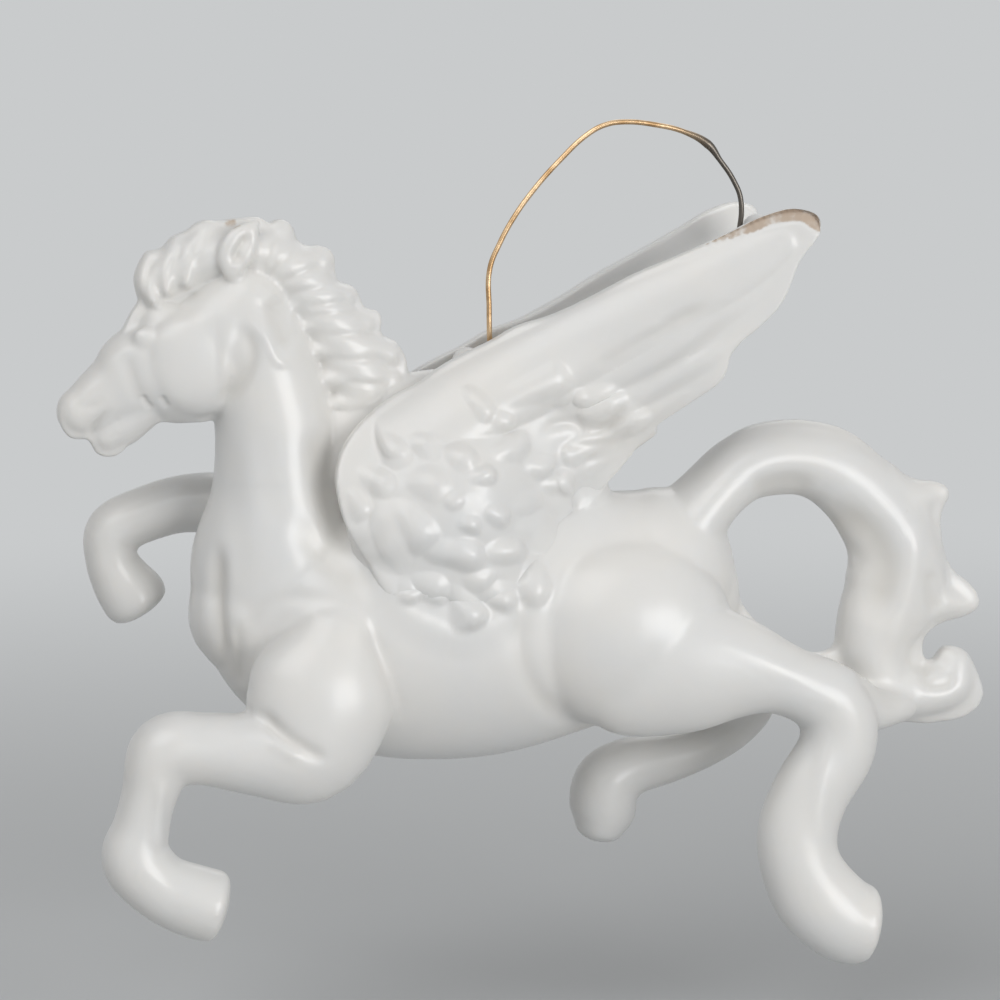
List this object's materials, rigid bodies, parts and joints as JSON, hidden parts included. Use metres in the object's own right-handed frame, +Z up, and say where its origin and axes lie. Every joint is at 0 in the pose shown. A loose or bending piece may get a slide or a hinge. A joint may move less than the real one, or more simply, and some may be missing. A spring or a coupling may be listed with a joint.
{
  "type": "pegasus figurine",
  "caption": "Winged horse figurine in glazed white porcelain, in a galloping pose, with a swinging brass wire hanger.",
  "frame": {"origin": "middle of the wire at its crown, where a hook holds it", "axes": "+X from the head towards the tail, +Z up, +Y away from the near side"},
  "size_m": [0.1135, 0.0331, 0.1015],
  "materials": {
    "glazed_porcelain": "gloss glaze",
    "brass_wire": "bare drawn wire"
  },
  "bodies": {
    "hanger": {"hanger_wire": "brass_wire"},
    "figurine": {"torso": "glazed_porcelain", "head_and_neck": "glazed_porcelain", "near_wing": "glazed_porcelain", "far_wing": "glazed_porcelain", "near_foreleg": "glazed_porcelain", "far_foreleg": "glazed_porcelain", "near_hind_leg": "glazed_porcelain", "far_hind_leg": "glazed_porcelain", "tail": "glazed_porcelain"}
  },
  "joints": [
    {"name": "hanger_swing", "type": "hinge", "parent": "hanger", "child": "figurine", "pos_m": [-0.016, 0, -0.0276], "axis": [0.9146, 0, 0.4045], "range_deg": [-20, 20]}
  ]
}
